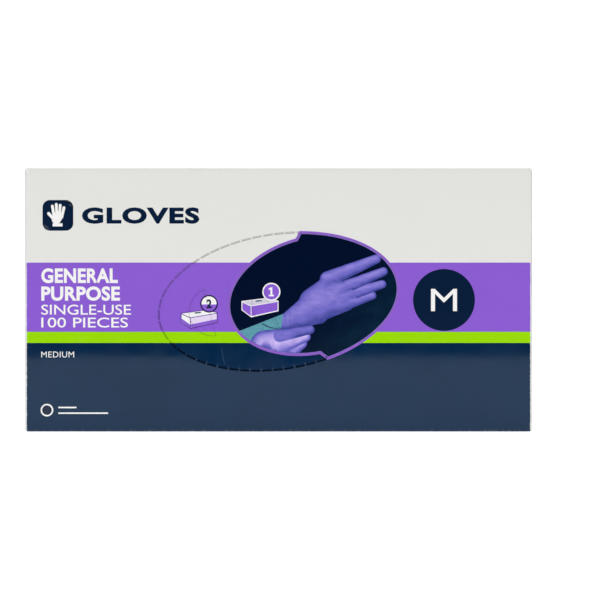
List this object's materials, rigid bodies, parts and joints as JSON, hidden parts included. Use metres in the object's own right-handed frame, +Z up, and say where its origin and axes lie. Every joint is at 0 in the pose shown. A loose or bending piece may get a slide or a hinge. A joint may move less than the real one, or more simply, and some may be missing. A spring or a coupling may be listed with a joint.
{
  "type": "disposable glove box",
  "caption": "Full, unopened folding carton that dispenses disposable gloves through a perforated oval opening, with tear-outs, thumb tabs, glued end flaps and a stack of flat gloves.",
  "frame": {"origin": "middle of the base that the carton stands on", "axes": "+X to the right along the front, +Y from the front face to the back, +Z up; the face with the oval opening looks along -Y"},
  "size_m": [0.241, 0.07, 0.125],
  "materials": {
    "printed_board": "satin",
    "leaf_print": "satin",
    "crescent_print": "satin",
    "adhesive": "satin",
    "glove_film": "matte"
  },
  "bodies": {
    "carton": {"front_panel": "printed_board", "back_panel": "printed_board", "top_panel": "printed_board", "bottom_panel": "printed_board", "glue_flap": "printed_board", "seam_glue": "adhesive", "left_top_dust_flap": "printed_board", "left_bottom_dust_flap": "printed_board", "right_top_dust_flap": "printed_board", "right_bottom_dust_flap": "printed_board", "first_glove": "glove_film", "gloves_cuff_left": "glove_film", "gloves_cuff_right": "glove_film"},
    "tear_out_1": {"tear_out_1": "leaf_print"},
    "tear_out_2": {"tear_out_2": "crescent_print"},
    "thumb_tab_1": {"thumb_tab_1": "leaf_print"},
    "thumb_tab_2": {"thumb_tab_2": "crescent_print"},
    "left_outer_flap": {"left_outer_flap": "printed_board"},
    "left_inner_flap": {"left_inner_flap": "printed_board", "left_end_glue": "adhesive"},
    "right_outer_flap": {"right_outer_flap": "printed_board"},
    "right_inner_flap": {"right_inner_flap": "printed_board", "right_end_glue": "adhesive"}
  },
  "joints": [
    {"name": "tear_out_1_pull", "type": "slide", "parent": "carton", "child": "tear_out_1", "axis": [0, -1, 0], "range_m": [0, 0.06]},
    {"name": "tear_out_2_pull", "type": "slide", "parent": "carton", "child": "tear_out_2", "axis": [0, -1, 0], "range_m": [0, 0.06]},
    {"name": "thumb_tab_1_push", "type": "hinge", "parent": "tear_out_1", "child": "thumb_tab_1", "pos_m": [-0.00377, -0.0345, 0.05927], "axis": [0.4027, 0, -0.9153], "range_deg": [0, 40]},
    {"name": "thumb_tab_2_push", "type": "hinge", "parent": "tear_out_2", "child": "thumb_tab_2", "pos_m": [-0.03254, -0.0345, 0.05643], "axis": [0.2504, 0, -0.9681], "range_deg": [0, 40]},
    {"name": "left_outer_flap_crease", "type": "hinge", "parent": "carton", "child": "left_outer_flap", "pos_m": [-0.1205, -0.035, 0.0625], "axis": [0, 0, 1], "range_deg": [0, 180]},
    {"name": "left_inner_flap_crease", "type": "hinge", "parent": "carton", "child": "left_inner_flap", "pos_m": [-0.1199, 0.035, 0.0625], "axis": [0, 0, -1], "range_deg": [0, 108]},
    {"name": "right_outer_flap_crease", "type": "hinge", "parent": "carton", "child": "right_outer_flap", "pos_m": [0.1205, -0.035, 0.0625], "axis": [0, 0, -1], "range_deg": [0, 180]},
    {"name": "right_inner_flap_crease", "type": "hinge", "parent": "carton", "child": "right_inner_flap", "pos_m": [0.1199, 0.035, 0.0625], "axis": [0, 0, 1], "range_deg": [0, 108]}
  ],
  "couplings": [
    {"joint": "left_inner_flap_crease", "follows": "left_outer_flap_crease", "ratio": 0.6},
    {"joint": "right_inner_flap_crease", "follows": "right_outer_flap_crease", "ratio": 0.6}
  ]
}
